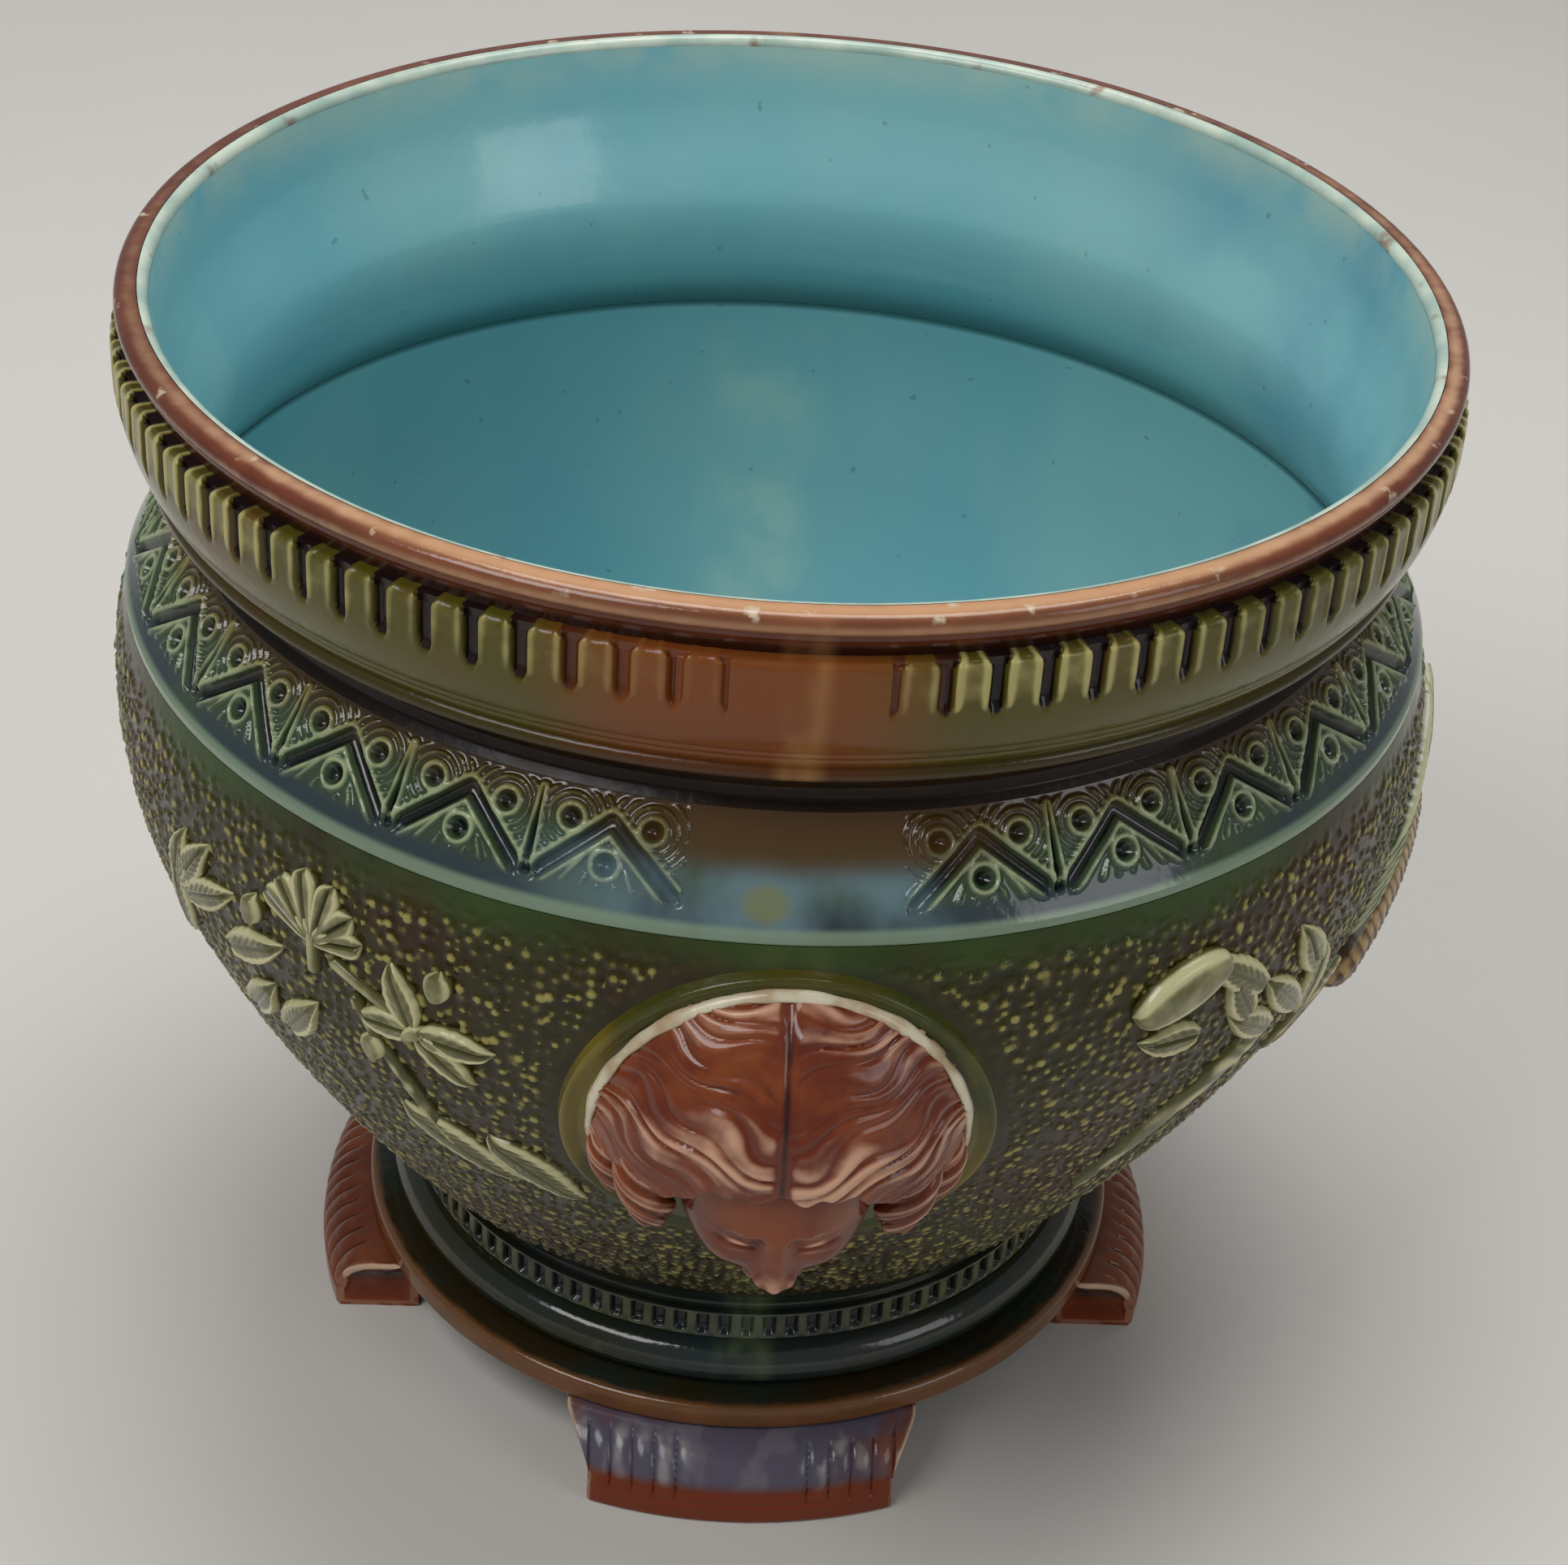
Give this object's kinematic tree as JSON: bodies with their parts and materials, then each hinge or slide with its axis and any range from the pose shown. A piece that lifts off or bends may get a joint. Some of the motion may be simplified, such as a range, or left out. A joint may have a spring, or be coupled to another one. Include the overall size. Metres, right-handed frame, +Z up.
{
  "type": "cachepot",
  "caption": "Round glazed ceramic cachepot on bracket feet, with a fluted rim, ribbed shoulder, relief sprigs and a mask on each side.",
  "frame": {"origin": "centre of the pot's footprint, on the plane that its four feet stand on", "axes": "+Z up along the turned axis, -Y towards the front mask, +X towards the right side panel"},
  "size_m": [0.336, 0.3718, 0.2995],
  "materials": {
    "mahogany_glaze": "glossy red-brown lead glaze, worn to cream on the edges",
    "band_glaze": "glossy olive glaze, pooled purple-brown in the grooves",
    "neck_glaze": "glossy dark brown glaze",
    "shoulder_glaze": "glossy blue-green glaze, dark blue at the edge",
    "belly_glaze": "glossy olive and brown glaze over a pebbled ground",
    "interior_glaze": "glossy turquoise glaze",
    "medallion_glaze": "glossy smooth olive glaze",
    "mask_glaze": "glossy red-brown glaze, cream on the worn edge",
    "sprig_glaze": "glossy thin olive glaze, cream on the high edges",
    "bird_glaze": "glossy olive and brown glaze, dark blue under the wing",
    "base_glaze": "glossy near-black green glaze, brown on the edge"
  },
  "bodies": {
    "root": {"base_disc": "base_glaze", "pedestal_torus": "base_glaze", "dentil_collar": "base_glaze", "bowl": "belly_glaze", "shoulder_frieze": "shoulder_glaze", "neck_collar": "neck_glaze", "fluted_band": "band_glaze", "rim_lip": "mahogany_glaze", "foot_front": "mahogany_glaze", "foot_right": "mahogany_glaze", "foot_back": "mahogany_glaze", "foot_left": "mahogany_glaze", "medallion_front": "medallion_glaze", "medallion_back": "medallion_glaze", "mask_front": "mask_glaze", "mask_back": "mask_glaze", "branch": "sprig_glaze", "bird_body": "bird_glaze", "bird_wing": "bird_glaze", "flower_bud": "sprig_glaze", "tulip_flowers": "sprig_glaze", "leaf_pair": "sprig_glaze", "leaf_spray": "sprig_glaze", "fan_leaf": "sprig_glaze", "almond_leaves": "sprig_glaze", "berries": "sprig_glaze", "blossom": "sprig_glaze", "long_leaf": "sprig_glaze"}
  },
  "joints": []
}
